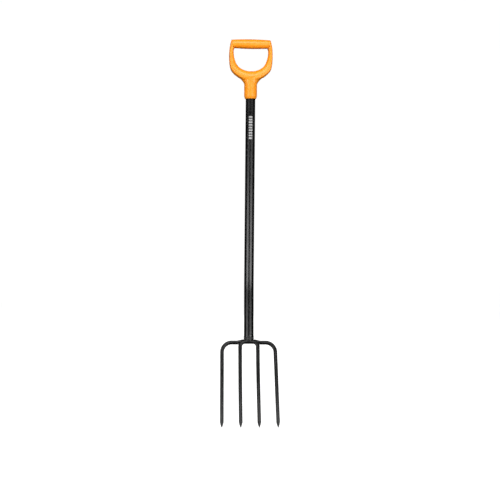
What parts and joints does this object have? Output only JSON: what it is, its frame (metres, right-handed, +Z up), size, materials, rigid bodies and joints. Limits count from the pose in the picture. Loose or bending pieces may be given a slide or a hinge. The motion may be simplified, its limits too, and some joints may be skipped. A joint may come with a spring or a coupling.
{
  "type": "digging fork",
  "caption": "Long-handled garden digging fork with a D-shaped grip, a slightly bent tubular shaft and slender forward-curved steel tines for loosening and lifting soil.",
  "frame": {"origin": "hang point: the middle of the grip's underside, where a wall hook or peg carries the fork", "axes": "+Z up along the straight upper shaft, +X across the head, and the tines' hollow side faces -Y"},
  "size_m": [0.185, 0.1215, 1.2043],
  "materials": {
    "handle_plastic": "orange moulded plastic, fine satin texture",
    "shaft_plastic": "black satin plastic",
    "tube_steel": "drawn steel tube",
    "bare_steel": "zinc plated",
    "head_steel": "black baked paint on forged steel, satin"
  },
  "bodies": {
    "root": {"handle_frame": "handle_plastic", "grip_sleeve": "handle_plastic", "handle_screw": "bare_steel", "shaft_sleeve": "shaft_plastic", "shaft_tube": "tube_steel", "shaft_end_ring": "shaft_plastic", "head_stem": "head_steel", "neck_weld": "head_steel", "outer_tine_rod": "head_steel", "inner_tine_rod": "head_steel", "under_weld": "head_steel", "left_tine_weld": "head_steel", "right_tine_weld": "head_steel"}
  },
  "joints": []
}
